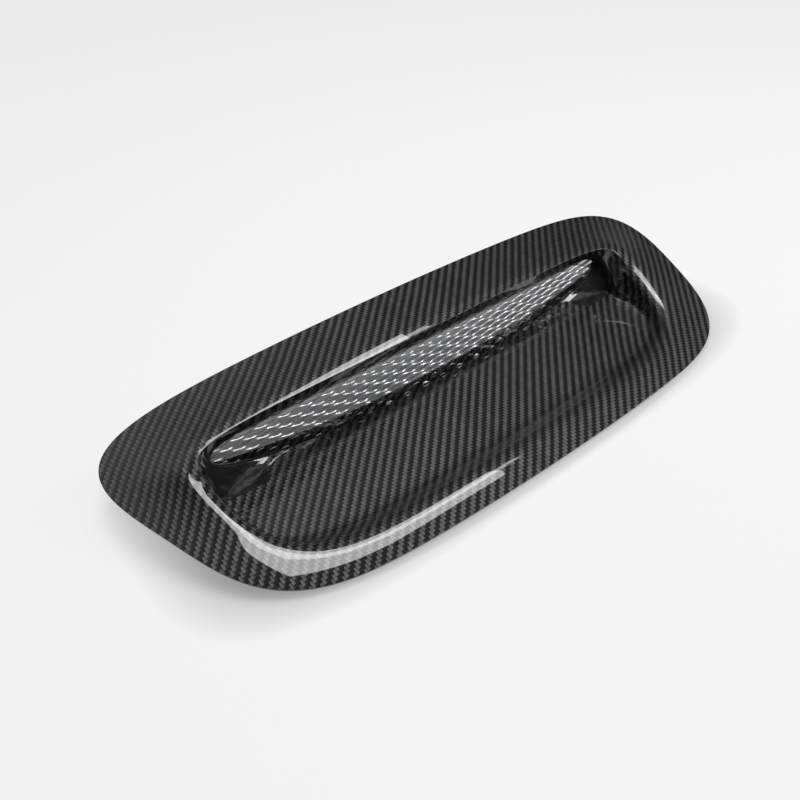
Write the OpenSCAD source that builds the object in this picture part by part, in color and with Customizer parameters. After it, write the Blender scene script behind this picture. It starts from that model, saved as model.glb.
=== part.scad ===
// Bonnet scoop in carbon laminate with an expanded aluminium grille.
// One thin moulding: a flange that lies on the bonnet, a sunken ramp that leads the air
// rearwards, and a raised lip over a slot. The grille is bonded behind the slot, and four
// studs on bonded bosses hold the scoop down.
// Axes: X across the car, +Y rearwards, +Z up. The origin is the middle of the base.

/* [Flange outline] */
// Half of the scoop's width on its middle line
half_width = 234.5; // [200:1:260]
// Reach of the outline in front of the middle line
front_reach = 85.5; // [78:0.5:95]
// Reach of the outline behind the middle line
rear_reach = 94; // [84:0.5:110]
// How far the ends sweep rearwards
end_sweep = 16; // [6:0.5:22]
// How far the ends droop with the bonnet's crown
end_droop = 20.5; // [10:0.5:24]
// Fore and aft crown, in mm at 100 mm from the middle line
fore_aft_crown = 7; // [2:0.5:10]
// Slope of the bonnet, nose down, in degrees
bonnet_slope = 10.2; // [8:0.1:12]
// Widening towards the rear, as a share for each 100 mm
rear_flare = 0.15; // [0.08:0.01:0.18]

/* [Pocket and lip] */
// Width of the flange at the ends, on the middle line
end_flange = 38; // [34:0.5:44]
// Width of the flange at the front
front_flange = 10.5; // [9:0.5:18]
// Distance from the middle line to the lip
lip_set = 39; // [36:0.5:44]
// Height of the lip over the flange surface at the middle
lip_rise = 6.5; // [5:0.5:12]
// Extra height of the lip over the flange surface near the ends
lip_rise_ends = 5; // [2:0.5:7]
// Length over which the side rims climb to the lip
lip_climb = 75; // [50:1:90]
// Bend length of the soft rim round the pocket
rim_bend = 9; // [5:0.5:11]
// Bend length of the lip's nose
lip_bend = 4.5; // [3.5:0.5:6]
// Hollow of the skin behind the lip, 1 is straight
skin_hollow = 1.4; // [1:0.1:1.8]

/* [Ramp and throat] */
// Depth of the ramp under the frame's zero level, at the middle line
ramp_depth = 27.5; // [24:0.5:30]
// Fall of the ramp for each 100 mm rearwards
ramp_fall = 2.5; // [0:0.5:6]
// Droop of the ramp at 200 mm from the middle
ramp_droop = 8.5; // [5:0.5:10]
// Run of the pocket wall in plan at the front
wall_run = 13; // [9:0.5:16]
// Bend length of the hollow at the foot of the pocket wall
foot_bend = 11; // [6:0.5:14]
// Distance from the middle line to the sill where the throat begins
sill_set = 20; // [14:0.5:24]
// How far the sill's ends sweep rearwards, at 200 mm from the middle
sill_sweep = 9.5; // [5:0.5:12]
// Bend length of the crisp sill
sill_bend = 2; // [1.5:0.25:4]

/* [Slot] */
// Distance from the pocket's end to the slot's end, before the slot's offset
slot_inset = 18.5; // [17.5:0.5:32]
// The slot lies this far to the left of the middle
slot_offset = 7; // [0:0.5:8]
// Distance from the middle line to the slot's face, at its level line
slot_set = 39.7; // [38:0.5:44]
// Level of the slot's level line, under the frame's zero level
slot_level = 9.2; // [6:0.5:12]
// Slot above its level line
slot_above = 11.5; // [9:0.5:13]
// Slot below its level line, at the middle
slot_below = 28.5; // [24:0.5:30]
// Lean of the slot's face, top rearwards, in degrees
slot_lean = 5.3; // [3:0.1:8]
// How far the slot's ends sweep rearwards, at 200 mm from the middle
slot_sweep = 6.3; // [4:0.1:9]
// How far the slot's ends droop, at 200 mm from the middle
slot_droop = 5.3; // [4:0.1:8]

/* [Laminate] */
// Thickness of the laminate
wall = 2; // [1.5:0.1:2.2]

/* [Grille] */
// Long pitch of the diamonds
mesh_long = 16.5; // [12:0.1:20]
// Short pitch of the diamonds
mesh_short = 8.2; // [6:0.1:10]
// Width of a strand
strand_width = 1.7; // [1.2:0.1:2]
// Thickness of the expanded sheet
strand_thick = 1.2; // [0.8:0.1:1.5]
// Least lap of the sheet past the slot's ends
end_lap = 4; // [3:0.5:5]
// Least lap of the sheet above and below the slot
row_lap = 1; // [0.8:0.1:2]

/* [Fixings] */
// Distance from the scoop's ends to the studs
stud_inset = 21; // [20:0.5:22]
// Place of the front studs, along the car
stud_front_y = -6; // [-9:0.5:2]
// Place of the rear studs, along the car
stud_rear_y = 64; // [58:0.5:68]
// Diameter of a stud
stud_d = 5; // [4:1:6]
// Length of a stud below its boss
stud_length = 9; // [6:0.5:10]
// Diameter of a stud's neck, inside its boss
neck_d = 6.5; // [6.2:0.1:7.5]
// Diameter of a stud's head plate
head_d = 12; // [10:0.5:12.5]
// Thickness of a stud's head plate
head_thick = 1.5; // [1:0.1:2]
// Diameter of a boss
boss_d = 17; // [15:0.5:18]
// Least height of a boss
boss_height = 3.5; // [3:0.1:5]

/* [Fits] */
// Glue line between a piece and the laminate
glue_line = 0.3; // [0.2:0.05:0.4]
// Clearance of a stud in its boss
stud_fit = 0.2; // [0.1:0.05:0.3]

/* [Hidden] */

// Fullness of the curves: across is the exponent along X, along is the one along Y
outline_across = 7.5;
outline_along_front = 4;
outline_along_rear = 2.8;
rim_across_front = 2.1;
rim_across_rear = 9;
rim_along_front = 4.9;
rim_along_rear = 5;
slot_across_low = 2.2;
slot_along_low = 2.07;
slot_across_high = 10;
slot_along_high = 2.5;

// The pocket, the slot and the studs keep their distance from the scoop's ends and front
rim_half_width = half_width - end_flange;
rim_front = front_reach - front_flange;
slot_half_length = rim_half_width - slot_inset;
stud_x = half_width - stud_inset;

// Reference lengths of the sweeps, droops and slopes above
ref_x = 200;
ref_y = 100;

// Steps of the skin for each quarter: along the long side and round the end
LONG_STEPS = 14;
END_STEPS = 8;
Q_STEPS = LONG_STEPS + END_STEPS;
RING = 4 * Q_STEPS;
Q_SPLIT = LONG_STEPS / Q_STEPS;

FLANGE_T = [0, 0.3, 0.6];
RIM_T = [0, 0.25, 0.5, 0.75, 1];
FOOT_T = [0, 0.33, 0.67, 1];
RAMP_T = [0.33, 0.67];
SILL_T = [0, 0.5, 1];
THROAT_T = [0.5, 1];

function smooth(t) = let (u = max(0, min(1, t))) u * u * (3 - 2 * u);
function unit(v) = v / norm(v);

// A quarter of a full curve, from the middle of its long side, q = 0, to its end, q = 1
function quarter(q, across, along) =
    q <= Q_SPLIT
    ? let (x = pow(0.5, 1 / across) * q / Q_SPLIT) [x, pow(1 - pow(x, across), 1 / along)]
    : let (y = pow(0.5, 1 / along) * (1 - q) / (1 - Q_SPLIT)) [pow(1 - pow(y, along), 1 / across), y];

// Place on a closed curve: k counts anticlockwise from the middle of the front
function quad_of(k) = floor(k / Q_STEPS);
function q_of(k) = let (r = (k % Q_STEPS) / Q_STEPS) quad_of(k) % 2 == 0 ? r : 1 - r;
function side_x(k) = quad_of(k) < 2 ? 1 : -1;
function is_front(k) = quad_of(k) == 0 || quad_of(k) == 3;

// 0 at the front of the pocket, 1 at the lip, and a smooth change round the ends
function rearness(k) =
    let (q = q_of(k), past = max(0, (q - Q_SPLIT) / (1 - Q_SPLIT)))
    smooth((1 + (is_front(k) ? past - 1 : 1 - past)) / 2);

function sweep(x) = end_sweep * pow(x / half_width, 2);

function flange_z(x, y) =
    y * tan(bonnet_slope) - end_droop * pow(x / half_width, 2) - fore_aft_crown * pow(y / ref_y, 2);

function ramp_z(x, y) = -ramp_depth - ramp_fall * y / ref_y - ramp_droop * pow(x / ref_x, 2);

// Height of the rim over the flange surface: nothing at the front, the full lip at the rear
function rim_rise(x, y) =
    (lip_rise + lip_rise_ends * pow(x / ref_x, 2)) * smooth((y + lip_climb - lip_set - sweep(x)) / lip_climb);

// A closed curve in plan, round a centre on the middle of the car
function plan_ring(k, half, centre, front, rear, across, along, flare) =
    let (
        u = quarter(q_of(k), across, along),
        y = centre + (is_front(k) ? -front : rear) * u[1],
        x = side_x(k) * half * u[0]
    )
    [x * (1 + flare * y / ref_y), y + sweep(x)];

function edge_xy(k) =
    plan_ring(k, half_width, 0, front_reach, rear_reach, outline_across,
        is_front(k) ? outline_along_front : outline_along_rear, rear_flare);

function rim_xy(k) =
    plan_ring(k, rim_half_width, 0, rim_front, lip_set, is_front(k) ? rim_across_front : rim_across_rear,
        is_front(k) ? rim_along_front : rim_along_rear, 0);

function rim_point(k) = let (p = rim_xy(k)) [p[0], p[1], flange_z(p[0], p[1]) + rim_rise(p[0], p[1])];

// A point on the slot's face: w is measured up the face from its level line
function face_point(x, w) =
    [x, slot_set + slot_sweep * pow(x / ref_x, 2) + w * sin(slot_lean),
        w * cos(slot_lean) - slot_level - slot_droop * pow(x / ref_x, 2)];

function slot_point(k) =
    let (
        u = is_front(k) ? quarter(q_of(k), slot_across_low, slot_along_low)
            : quarter(q_of(k), slot_across_high, slot_along_high)
    )
    face_point(side_x(k) * slot_half_length * u[0] - slot_offset, (is_front(k) ? -slot_below : slot_above) * u[1]);

// Foot of the pocket wall: on the ramp at the front, on the lip's face at the rear
FOOT_ON_FACE = 0.4;
FOOT_INSET = 6;
FOOT_CENTRE = 5;
function foot_point(k) =
    let (
        p = plan_ring(k, rim_half_width - FOOT_INSET, FOOT_CENTRE,
            rim_front - wall_run + FOOT_CENTRE, lip_set - FOOT_CENTRE,
            is_front(k) ? rim_across_front : rim_across_rear,
            is_front(k) ? rim_along_front : rim_along_rear, 0),
        low = [p[0], p[1], ramp_z(p[0], p[1])],
        high = rim_point(k) * (1 - FOOT_ON_FACE) + slot_point(k) * FOOT_ON_FACE
    )
    low + (high - low) * rearness(k);

// Sill: the ramp's rear end at the front, still lower on the lip's face at the rear
SILL_ON_FACE = 0.7;
SILL_INSET = 9.5;
SILL_CENTRE = 5;
function sill_point(k) =
    let (
        u = quarter(q_of(k), rim_across_rear, rim_along_front),
        x = side_x(k) * (rim_half_width - SILL_INSET) * u[0],
        y = sill_set + sill_sweep * pow(x / ref_x, 2) + SILL_CENTRE * (1 - u[1]),
        low = [x, y, ramp_z(x, y)],
        high = rim_point(k) * (1 - SILL_ON_FACE) + slot_point(k) * SILL_ON_FACE
    )
    low + (high - low) * rearness(k);

// The flange between its outer edge, t = 0, and the rim, t = 1
function flange_point(k, t) =
    let (e = edge_xy(k), r = rim_xy(k), p = e + (r - e) * t)
    [p[0], p[1], flange_z(p[0], p[1]) + rim_rise(r[0], r[1]) * pow(t, skin_hollow)];

// A rounded corner at b, between a and c, that takes up to the given length of each leg
LEG_SHARE = 0.45;
function bend(a, b, c, length, steps) =
    let (
        d = min(length, LEG_SHARE * norm(a - b), LEG_SHARE * norm(c - b)),
        p = b + unit(a - b) * d,
        q = b + unit(c - b) * d
    )
    [for (t = steps) p * pow(1 - t, 2) + b * 2 * t * (1 - t) + q * pow(t, 2)];

// One section of the outer skin, from the outer edge in to the slot
NEAR_RIM = 0.8;
function section(k) =
    let (
        w = rearness(k),
        rim = rim_point(k),
        foot = foot_point(k),
        sill = sill_point(k),
        slot = slot_point(k),
        near_rim = flange_point(k, NEAR_RIM),
        rim_arc = bend(near_rim, rim, foot, rim_bend + (lip_bend - rim_bend) * w, RIM_T),
        foot_arc = bend(rim, foot, sill, foot_bend, FOOT_T),
        sill_arc = bend(foot, sill, slot, sill_bend, SILL_T),
        ramp_start = foot_arc[len(FOOT_T) - 1],
        throat_start = sill_arc[len(SILL_T) - 1]
    )
    concat(
        [for (t = FLANGE_T) flange_point(k, t)],
        rim_arc,
        foot_arc,
        [for (t = RAMP_T) ramp_start + (sill_arc[0] - ramp_start) * t],
        sill_arc,
        [for (t = THROAT_T) throat_start + (slot - throat_start) * t]
    );

skin = [for (k = [0 : RING - 1]) section(k)];
DEEP = len(skin[0]);

function skin_normal(k, v) =
    let (
        along = skin[(k + 1) % RING][v] - skin[(k + RING - 1) % RING][v],
        inward = skin[k][min(v + 1, DEEP - 1)] - skin[k][max(v - 1, 0)]
    )
    unit(cross(along, inward));

underside = [for (k = [0 : RING - 1]) [for (v = [0 : DEEP - 1]) skin[k][v] - wall * skin_normal(k, v)]];

// The sheet stands behind the slot and leans with it, a glue line clear of the laminate's edge
function slot_w(p) = (p[2] + slot_level + slot_droop * pow(p[0] / ref_x, 2)) / cos(sheet_lean);
function edge_set(p) = p[1] - slot_sweep * pow(p[0] / ref_x, 2) - slot_w(p) * sin(sheet_lean);
sheet_lean = slot_lean + atan(wall / (slot_above + slot_below));
sheet_set = max([for (k = [0 : RING - 1]) max(edge_set(skin[k][DEEP - 1]), edge_set(underside[k][DEEP - 1]))])
    + (glue_line + strand_thick / 2) / cos(sheet_lean);
function sheet_point(x, w, depth) =
    [x, sheet_set + slot_sweep * pow(x / ref_x, 2) + w * sin(sheet_lean) + depth * cos(sheet_lean),
        w * cos(sheet_lean) - slot_level - slot_droop * pow(x / ref_x, 2) - depth * sin(sheet_lean)];

// The sheet's strands lie in half rows, counted up from the level line, and bend at half columns.
// Each one ends at the first bend past the slot's outline and its lap
half_long = mesh_long / 2;
half_short = mesh_short / 2;
function near_edge(row) = half_short * (row < 0 ? -row - 1 : row);
function laps(i, row) =
    let (
        x = max(0, abs(i * half_long + slot_offset) - half_long) / (slot_half_length + end_lap),
        w = near_edge(row) / ((row < 0 ? slot_below : slot_above) + row_lap)
    )
    pow(x, row < 0 ? slot_across_low : slot_across_high) + pow(w, row < 0 ? slot_along_low : slot_along_high) <= 1;

columns = ceil((slot_half_length + slot_offset + end_lap) / half_long) + 1;
rows = [for (row = [-ceil(half_width / half_short) : ceil(half_width / half_short)]) if (laps(0, row)) row];
function bends(row) = [for (i = [-columns : columns]) if (laps(i, row)) i];

// Corners of a strand: four at each bend
function strand_points(row) =
    [for (i = bends(row), dw = [-1, 1], dd = [-1, 1])
        sheet_point(i * half_long, half_short * (row + abs(i + row) % 2) + dw * strand_width / 2,
            dd * strand_thick / 2)];

// The whole scoop is moved so that the origin is the middle of its base: the lowest point is the
// grille's lower edge or the laminate's, and the outline's ends and corners set the middle
sheet_low = min([for (row = rows) min([for (p = strand_points(row)) p[2]])]);
base = min(sheet_low, min([for (s = underside) min([for (p = s) p[2]])]));
outer_y = [for (k = [0 : RING - 1]) each [skin[k][0][1], underside[k][0][1]]];
home = [0, -(min(outer_y) + max(outer_y)) / 2, -base];

// Quads of one skin, or of the strip between two rings, as pairs of triangles
function patch(a, b, c, d) = [[a, b, c], [a, c, d]];
function at(k, v, side) = side * RING * DEEP + (k % RING) * DEEP + v;

module scoop_shell() {
    top_faces = [for (k = [0 : RING - 1]) for (v = [0 : DEEP - 2])
        each patch(at(k, v, 0), at(k, v + 1, 0), at(k + 1, v + 1, 0), at(k + 1, v, 0))];
    under_faces = [for (k = [0 : RING - 1]) for (v = [0 : DEEP - 2])
        each patch(at(k, v, 1), at(k + 1, v, 1), at(k + 1, v + 1, 1), at(k, v + 1, 1))];
    edge_faces = [for (k = [0 : RING - 1])
        each patch(at(k, 0, 0), at(k + 1, 0, 0), at(k + 1, 0, 1), at(k, 0, 1))];
    slot_faces = [for (k = [0 : RING - 1])
        each patch(at(k, DEEP - 1, 0), at(k, DEEP - 1, 1), at(k + 1, DEEP - 1, 1), at(k + 1, DEEP - 1, 0))];
    points = concat([for (s = skin) each s], [for (s = underside) each s]);
    color([0.1, 0.1, 0.11])
        translate(home)
        polyhedron(points, concat(top_faces, under_faces, edge_faces, slot_faces));
}

// One zigzag strand of the expanded sheet
module strand(row) {
    points = strand_points(row);
    last = len(points) - 4;
    sides = [for (o = [0 : 4 : last - 4])
        each concat(patch(o, o + 4, o + 5, o + 1), patch(o + 2, o + 3, o + 7, o + 6),
            patch(o, o + 2, o + 6, o + 4), patch(o + 1, o + 5, o + 7, o + 3))];
    caps = concat(patch(0, 1, 3, 2), patch(last, last + 2, last + 3, last + 1));
    polyhedron(points, concat(sides, caps));
}

module mesh_grille() {
    color([0.75, 0.76, 0.78])
        translate(home)
        for (row = rows) strand(row);
}

// Height of the flange's underside over a place in plan: the facet that lies there
function turn(a, b, p) = (b[0] - a[0]) * (p[1] - a[1]) - (b[1] - a[1]) * (p[0] - a[0]);
function holds(t, p) = turn(t[0], t[1], p) >= 0 && turn(t[1], t[2], p) >= 0 && turn(t[2], t[0], p) >= 0;
function plane_z(t, p) =
    let (n = cross(t[1] - t[0], t[2] - t[0]))
    t[0][2] - (n[0] * (p[0] - t[0][0]) + n[1] * (p[1] - t[0][1])) / n[2];
function under(k, v) = underside[k % RING][v];
flange_facets = [for (k = [0 : RING - 1]) for (v = [0 : len(FLANGE_T) + 1])
    each [[under(k, v), under(k + 1, v), under(k + 1, v + 1)], [under(k, v), under(k + 1, v + 1), under(k, v + 1)]]];
function under_z(p) = [for (t = flange_facets) if (holds(t, p)) plane_z(t, p)][0];

// Seat of a boss at p: a plane just under the flange, as [height at p, slope along X, slope along Y]
SEAT_STEPS = 12;
function seat(p) =
    let (
        r = boss_d / 2,
        sx = (under_z(p + [r, 0]) - under_z(p - [r, 0])) / boss_d,
        sy = (under_z(p + [0, r]) - under_z(p - [0, r])) / boss_d,
        round_p = [for (i = [1 : SEAT_STEPS]) r * [cos(360 * i / SEAT_STEPS), sin(360 * i / SEAT_STEPS)]],
        drops = [for (d = concat([[0, 0]], round_p)) under_z(p + d) - d * [sx, sy]]
    )
    [min(drops) - glue_line, sx, sy];

// The left and right bosses are twins: the lower of the two seats serves both
function twin_seat(y) =
    let (r = seat([stud_x, y]), l = seat([-stud_x, y]))
    [min(r[0], l[0]), (r[1] - l[1]) / 2, (r[2] + l[2]) / 2];

// Bottom of a boss: its thin side has the least height
function boss_bottom(s) = s[0] - boss_d / 2 * norm([s[1], s[2]]) - boss_height;

// Bosses and studs stand upright, so that the studs enter the bonnet together
boss_floor = boss_height - head_thick - glue_line;
CUTTER = 4 * boss_d;
CUT_PAST = 1;

module boss(side, y) {
    s = twin_seat(y);
    bottom = boss_bottom(s);
    tilt_y = -atan(side * s[1]);
    color([0.13, 0.13, 0.13])
        translate(home + [side * stud_x, y, bottom])
        difference() {
            cylinder(h = s[0] - bottom + boss_d / 2, d = boss_d, $fn = 48);
            translate([0, 0, s[0] - bottom])
                rotate([atan(s[2] * cos(tilt_y)), tilt_y, 0])
                translate([-CUTTER / 2, -CUTTER / 2, 0])
                cube(CUTTER);
            translate([0, 0, boss_floor])
                cylinder(h = CUTTER, d = head_d + 2 * stud_fit, $fn = 48);
            translate([0, 0, -CUT_PAST])
                cylinder(h = boss_floor + 2 * CUT_PAST, d = neck_d + 2 * stud_fit, $fn = 32);
        }
}

module stud(side, y) {
    color([0.72, 0.73, 0.75])
        translate(home + [side * stud_x, y, boss_bottom(twin_seat(y))]) {
            translate([0, 0, boss_floor])
                cylinder(h = head_thick, d = head_d, $fn = 48);
            cylinder(h = boss_floor + head_thick / 2, d = neck_d, $fn = 32);
            translate([0, 0, -stud_length])
                cylinder(h = stud_length + boss_floor, d = stud_d, $fn = 32);
        }
}

LEFT = -1;
RIGHT = 1;

scoop_shell();
mesh_grille();
boss(LEFT, stud_front_y);  // boss_front_left
boss(RIGHT, stud_front_y);  // boss_front_right
boss(LEFT, stud_rear_y);  // boss_rear_left
boss(RIGHT, stud_rear_y);  // boss_rear_right
stud(LEFT, stud_front_y);  // stud_front_left
stud(RIGHT, stud_front_y);  // stud_front_right
stud(LEFT, stud_rear_y);  // stud_rear_left
stud(RIGHT, stud_rear_y);  // stud_rear_right
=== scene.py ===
"""Dresses the bonnet scoop for a studio picture.

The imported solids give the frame. The moulding is drawn again from the same sizes with a finer
skin, rounded edges and a cloth that is laid over it; the grille is expanded sheet with turned
strands; and the studs get their threads. Sizes are in millimetres, and meshes are in metres.
"""

from __future__ import annotations

import logging
import math
from collections.abc import Sequence
from dataclasses import dataclass, field, replace
from enum import Enum, IntEnum
from functools import partialmethod

import bpy
import numpy as np
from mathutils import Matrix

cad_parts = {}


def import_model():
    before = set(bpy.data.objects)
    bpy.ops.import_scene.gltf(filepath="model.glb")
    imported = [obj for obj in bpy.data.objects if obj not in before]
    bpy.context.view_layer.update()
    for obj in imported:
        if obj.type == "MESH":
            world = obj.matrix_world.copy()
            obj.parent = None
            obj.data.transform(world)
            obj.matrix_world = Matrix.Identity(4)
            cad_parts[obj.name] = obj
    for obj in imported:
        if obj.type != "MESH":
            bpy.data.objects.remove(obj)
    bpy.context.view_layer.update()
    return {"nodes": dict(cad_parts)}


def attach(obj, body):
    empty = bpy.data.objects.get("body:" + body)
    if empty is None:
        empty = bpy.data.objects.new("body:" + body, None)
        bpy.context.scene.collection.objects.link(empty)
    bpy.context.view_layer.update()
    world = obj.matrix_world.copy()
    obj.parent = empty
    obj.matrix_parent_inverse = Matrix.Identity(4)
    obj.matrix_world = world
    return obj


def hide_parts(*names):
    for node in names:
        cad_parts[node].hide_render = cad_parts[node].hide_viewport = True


LOG = logging.getLogger("bonnet_scoop")
MM = 0.001
BODY = "root"
WEAVE_MAP = "weave"
CLOTH_REPEAT = 8.0
TOWS = 4.0
TINY = 1e-9
Array = np.ndarray
Triple = tuple[float, float, float]
Stops = Sequence[tuple[float, float]]
Socket = bpy.types.NodeSocket
Piece = bpy.types.Object
Material = bpy.types.Material


class Slot(Enum):
    """Material slots of the record."""

    LAMINATE = "carbon_laminate"
    SHEET = "expanded_aluminium"
    RESIN = "boss_resin"
    STEEL = "stud_steel"


class Look(IntEnum):
    """Finishes of the moulding's faces, in the order of its material slots."""

    SHOW = 0
    BACK = 1
    EDGE = 2
    POOL = 3


# --------------------------------------------------------------------------------------------
# Node trees


def put(tree: bpy.types.NodeTree, slot: Socket, value: object) -> None:
    """Fills an input.

    Args:
        tree: The node tree.
        slot: The input.
        value: An output to link, or a constant.
    """
    value = value.socket if isinstance(value, Field) else value
    if isinstance(value, Socket):
        tree.links.new(value, slot)
    else:
        slot.default_value = value


class Field:
    """A number in a node tree that takes plain arithmetic, which adds math nodes."""

    def __init__(self, tree: bpy.types.NodeTree, socket: Socket) -> None:
        """Wraps a socket of a tree."""
        self.tree, self.socket = tree, socket

    def math(self, operation: str, *others: Field | float) -> Field:
        """Adds a math node.

        Args:
            operation: Name of the node's operation.
            others: The further operands.

        Returns:
            The node's value.
        """
        node = self.tree.nodes.new("ShaderNodeMath")
        node.operation = operation
        for slot, value in zip(node.inputs, (self, *others)):
            put(self.tree, slot, value)
        return Field(self.tree, node.outputs[0])

    __add__ = partialmethod(math, "ADD")
    __sub__ = partialmethod(math, "SUBTRACT")
    __mul__ = partialmethod(math, "MULTIPLY")
    __truediv__ = partialmethod(math, "DIVIDE")
    __pow__ = partialmethod(math, "POWER")
    __lt__ = partialmethod(math, "LESS_THAN")
    __abs__ = partialmethod(math, "ABSOLUTE")

    def __rsub__(self, other: float) -> Field:
        """Difference from a plain number."""
        return self.math("MULTIPLY_ADD", -1.0, other)

    def mixed(self, low: Field | float, high: Field | float) -> Field:
        """Goes from low, where this is 0, to high, where this is 1.

        Args:
            low: Value at 0.
            high: Value at 1.

        Returns:
            The mixed value.
        """
        node = self.tree.nodes.new("ShaderNodeMix")
        for slot, value in zip((node.inputs[0], node.inputs[2], node.inputs[3]), (self, low, high)):
            put(self.tree, slot, value)
        return Field(self.tree, node.outputs[0])


class Tree:
    """Short ways to fill a node tree."""

    def __init__(self, tree: bpy.types.NodeTree) -> None:
        """Takes the tree to fill."""
        self.tree = tree

    def node(self, kind: str, inputs: dict[str | int, object] | None = None,
             **settings: object) -> bpy.types.Node:
        """Adds a node.

        Args:
            kind: The node's type.
            inputs: Outputs or constants for its inputs, by name or number.
            settings: Properties of the node.

        Returns:
            The node.
        """
        node = self.tree.nodes.new(kind)
        for name, value in settings.items():
            setattr(node, name, value)
        for key, value in (inputs or {}).items():
            put(self.tree, node.inputs[key], value)
        return node

    def out(self, kind: str, inputs: dict[str | int, object] | None = None, **settings: object) -> Socket:
        """Adds a node and gives its first output."""
        return self.node(kind, inputs, **settings).outputs[0]

    def link(self, source: Socket | Field, target: Socket) -> None:
        """Joins an output to an input."""
        put(self.tree, target, source)

    def field(self, socket: Socket) -> Field:
        """Wraps an output of this tree."""
        return Field(self.tree, socket)

    def vector(self, x: Field | float, y: Field | float, z: Field | float) -> Socket:
        """Joins three numbers to a vector."""
        return self.out("ShaderNodeCombineXYZ", {0: x, 1: y, 2: z})

    def parts(self, vector: Socket) -> tuple[Field, Field, Field]:
        """Splits a vector into its three numbers."""
        return tuple(self.field(out) for out in self.node("ShaderNodeSeparateXYZ", {0: vector}).outputs)

    def ramp(self, value: Field, stops: Stops) -> Field:
        """Maps a number over straight steps of grey.

        Args:
            value: The number, from 0 to 1.
            stops: Pairs of place and grey.

        Returns:
            The mapped number.
        """
        node = self.node("ShaderNodeValToRGB", {0: value})
        elements = node.color_ramp.elements
        while len(elements) < len(stops):
            elements.new(0.5)
        for element, (place, grey) in zip(elements, stops):
            element.position = place
            element.color = (grey, grey, grey, 1.0)
        return self.field(node.outputs[0])

    def tint(self, value: Field, low: Triple, high: Triple) -> Socket:
        """Mixes two colours by a mask."""
        colours = {0: value, 6: (*low, 1.0), 7: (*high, 1.0)}
        return self.node("ShaderNodeMix", colours, data_type="RGBA").outputs[2]


def shader_group(name: str, inputs: dict[str, float], outputs: dict[str, str]) -> tuple[Tree, dict, dict]:
    """Starts a shader group.

    Args:
        name: The group's name.
        inputs: Number inputs and their defaults.
        outputs: Outputs and the kinds of their sockets.

    Returns:
        The tree, its input fields by name and its output sockets by name.
    """
    group = bpy.data.node_groups.new(name, "ShaderNodeTree")
    for label, value in inputs.items():
        socket = group.interface.new_socket(label, in_out="INPUT", socket_type="NodeSocketFloat")
        socket.default_value = value
    for label, kind in outputs.items():
        group.interface.new_socket(label, in_out="OUTPUT", socket_type=f"NodeSocket{kind}")
    tree = Tree(group)
    start, end = tree.node("NodeGroupInput"), tree.node("NodeGroupOutput")
    fields = {label: tree.field(start.outputs[label]) for label in inputs}
    return tree, fields, {label: end.inputs[label] for label in outputs}


def twill_group() -> bpy.types.NodeTree:
    """Builds the group that weaves a 2 by 2 twill on the cloth's own map.

    Returns:
        The group: Warp is 1 where a lengthwise tow is on top, Shade is the tow's own tone,
        Gap is 1 between tows, and Normal leans with the tows' crowns and crimps.
    """
    tree, given, out = shader_group(
        "twill_weave", {"Crown": 0.5, "Crimp": 0.15, "Drift": 0.2},
        {"Warp": "Float", "Shade": "Float", "Gap": "Float", "Normal": "Vector"})
    place = tree.out("ShaderNodeUVMap", uv_map=WEAVE_MAP)
    drift = tree.node("ShaderNodeTexNoise", {"Vector": place, "Scale": 0.35, "Detail": 1.0},
                      noise_dimensions="2D")
    du, dv, _ = tree.parts(drift.outputs["Color"])
    u, v, _ = tree.parts(place)
    across = (u + (du - 0.5) * given["Drift"]) * TOWS
    length = (v + (dv - 0.5) * given["Drift"]) * TOWS
    i, j = across.math("FLOOR"), length.math("FLOOR")
    fu, fv = across - i, length - j
    step = (i - j).math("FLOORED_MODULO", TOWS)
    warp = step < 1.5
    side = warp.mixed(fv, fu) * 2.0 - 1.0
    run = warp.mixed((step - 2.0 + fu) * 0.5, (1.0 - step + fv) * 0.5)
    lean = side * given["Crown"]
    rise = (run * math.pi).math("COSINE") * given["Crimp"] * -1.0
    nx, ny = warp.mixed(rise, lean), warp.mixed(lean, rise)
    facing = tree.vector(nx * 0.5 + 0.5, ny * 0.5 + 0.5, 1.0)
    tree.link(tree.out("ShaderNodeNormalMap", {"Color": facing}, uv_map=WEAVE_MAP), out["Normal"])
    own = tree.vector(warp.mixed(j, i), warp.mixed(7.0, 3.0), 0.0)
    tone = tree.out("ShaderNodeTexWhiteNoise", {"Vector": own}, noise_dimensions="2D")
    fine, coarse = 9.0, 0.4
    streaks = tree.vector(warp.mixed(across * coarse, across * fine),
                          warp.mixed(length * fine, length * coarse), 0.0)
    fibres = tree.out("ShaderNodeTexNoise", {"Vector": streaks, "Scale": 1.0, "Detail": 2.0},
                      noise_dimensions="2D")
    tree.link(warp, out["Warp"])
    tree.link(tree.field(tone) * 0.5 + tree.field(fibres) * 0.5, out["Shade"])
    edge = abs(side).math("MAXIMUM", abs(run * 2.0 - 1.0) * 0.98)
    tree.link(tree.ramp(edge, [(0.8, 0.0), (0.98, 1.0)]), out["Gap"])
    return tree.tree


def speck_group() -> bpy.types.NodeTree:
    """Builds the group of small specks and slow patches that every finish shares.

    Returns:
        The group: Speck is 1 on sparse dots, and Patch drifts between 0 and 1.
    """
    tree, given, out = shader_group(
        "specks_and_patches", {"Speck Scale": 400.0, "Speck Share": 0.1, "Patch Scale": 20.0},
        {"Speck": "Float", "Patch": "Float"})
    place = tree.node("ShaderNodeTexCoord").outputs["Object"]
    dots = tree.node("ShaderNodeTexVoronoi", {"Vector": place, "Scale": given["Speck Scale"]})
    chance, _, _ = tree.parts(dots.outputs["Color"])
    dot_size = 0.25
    near = tree.field(dots.outputs["Distance"]) < dot_size
    tree.link(near * (chance < given["Speck Share"]), out["Speck"])
    patch = tree.out("ShaderNodeTexNoise", {"Vector": place, "Scale": given["Patch Scale"], "Detail": 4.0})
    tree.link(patch, out["Patch"])
    return tree.tree


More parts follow.
